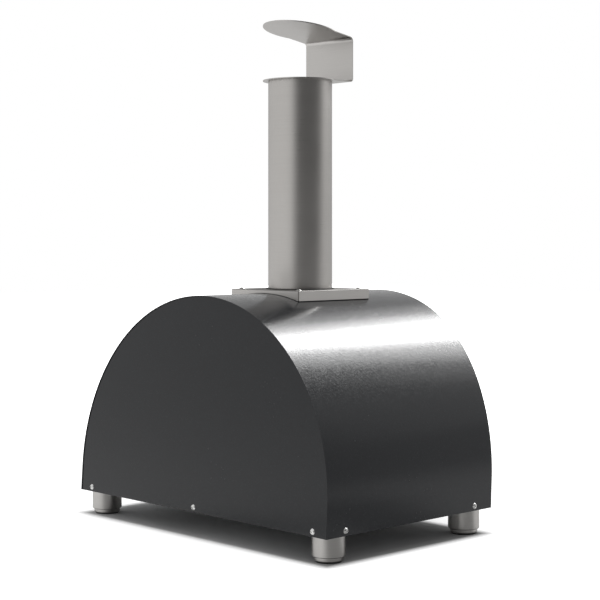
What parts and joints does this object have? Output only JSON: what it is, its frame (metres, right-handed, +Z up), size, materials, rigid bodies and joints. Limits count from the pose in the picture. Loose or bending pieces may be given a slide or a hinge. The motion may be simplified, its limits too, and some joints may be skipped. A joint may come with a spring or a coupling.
{
  "type": "portable pizza oven",
  "caption": "Free-standing gas pizza oven: half-round insulated vault with an arched mouth and lift-off door, upright flue with a turnable leaf cap, and levelling feet.",
  "frame": {"origin": "on the ground, under the middle of the oven's overall box", "axes": "+Z up, -Y out of the mouth, +X towards the gas side (right hand when facing the mouth)"},
  "size_m": [0.6052, 0.4332, 0.8347],
  "materials": {
    "anthracite_coat": "fine-textured anthracite powder coat, satin",
    "flue_steel": "brushed stainless sheet",
    "foot_steel": "turned and brushed stainless",
    "foot_rubber": "matte black rubber",
    "base_steel": "galvanised sheet",
    "chamber_steel": "stainless sheet, satin",
    "door_steel": "brushed stainless",
    "refractory": "matte cordierite",
    "insulation": "matte ceramic fibre",
    "screw_steel": "bright stainless",
    "brass": "machined brass",
    "gas_line": "drawn stainless tube",
    "valve_alloy": "cast and turned alloy",
    "knob_plastic": "black heat-resistant plastic",
    "electrode_ceramic": "white electrode ceramic"
  },
  "bodies": {
    "oven_body": {"base_tray": "base_steel", "burner_brackets": "chamber_steel", "burner_tube": "chamber_steel", "facade": "anthracite_coat", "facade_screws": "screw_steel", "flame_guard": "chamber_steel", "flame_probe": "gas_line", "floor_board": "insulation", "floor_deck": "base_steel", "floor_tile_left": "refractory", "floor_tile_right": "refractory", "flue_collar": "flue_steel", "flue_plate": "flue_steel", "foot_bolts": "screw_steel", "foot_front_left": "foot_steel", "foot_front_right": "foot_steel", "foot_rear_left": "foot_steel", "foot_rear_right": "foot_steel", "front_pad": "insulation", "gas_nozzle": "brass", "gas_pipe": "gas_line", "gas_valve": "valve_alloy", "hearth_sill": "chamber_steel", "inlet_fitting": "brass", "inner_front_wall": "chamber_steel", "inner_rear_wall": "chamber_steel", "inner_vault": "chamber_steel", "knob_bezel": "valve_alloy", "mouth_liner": "chamber_steel", "plate_screws": "screw_steel", "rear_pad": "insulation", "rear_panel": "anthracite_coat", "rear_screws": "screw_steel", "side_screws": "screw_steel", "spark_electrode": "electrode_ceramic", "tile_frame": "base_steel", "vault_blanket": "insulation", "vault_cover": "anthracite_coat"},
    "door": {"door_panel": "door_steel", "door_liner": "door_steel", "door_core": "insulation", "door_posts": "door_steel", "door_grip": "door_steel"},
    "flue": {"flue_pipe": "flue_steel"},
    "cap": {"chimney_cap": "flue_steel", "cap_spigot": "flue_steel"},
    "plunger": {"valve_plunger": "brass"},
    "knob": {"valve_spindle": "gas_line", "control_knob": "knob_plastic"},
    "glide_front_left": {"glide_front_left": "foot_steel", "pad_front_left": "foot_rubber"},
    "glide_front_right": {"glide_front_right": "foot_steel", "pad_front_right": "foot_rubber"},
    "glide_rear_left": {"glide_rear_left": "foot_steel", "pad_rear_left": "foot_rubber"},
    "glide_rear_right": {"glide_rear_right": "foot_steel", "pad_rear_right": "foot_rubber"}
  },
  "joints": [
    {"name": "door_pull", "type": "slide", "parent": "oven_body", "child": "door", "axis": [0, -1, 0], "range_m": [0, 0.15]},
    {"name": "flue_lift", "type": "slide", "parent": "oven_body", "child": "flue", "axis": [0, 0, 1], "range_m": [0, 0.12]},
    {"name": "cap_turn", "type": "hinge", "parent": "flue", "child": "cap", "pos_m": [0, -0.02058, 0.738], "axis": [0, 0, 1], "continuous": true},
    {"name": "knob_push", "type": "slide", "parent": "oven_body", "child": "plunger", "axis": [0, 1, 0], "range_m": [0, 0.003], "stiffness_N_per_m": 600, "springref_m": -0.003},
    {"name": "knob_turn", "type": "hinge", "parent": "plunger", "child": "knob", "pos_m": [0.22396, -0.14858, 0.067], "axis": [0, -1, 0], "range_deg": [0, 180]},
    {"name": "level_front_left", "type": "slide", "parent": "oven_body", "child": "glide_front_left", "axis": [0, 0, -1], "range_m": [0, 0.01]},
    {"name": "level_front_right", "type": "slide", "parent": "oven_body", "child": "glide_front_right", "axis": [0, 0, -1], "range_m": [0, 0.01]},
    {"name": "level_rear_left", "type": "slide", "parent": "oven_body", "child": "glide_rear_left", "axis": [0, 0, -1], "range_m": [0, 0.01]},
    {"name": "level_rear_right", "type": "slide", "parent": "oven_body", "child": "glide_rear_right", "axis": [0, 0, -1], "range_m": [0, 0.01]}
  ]
}
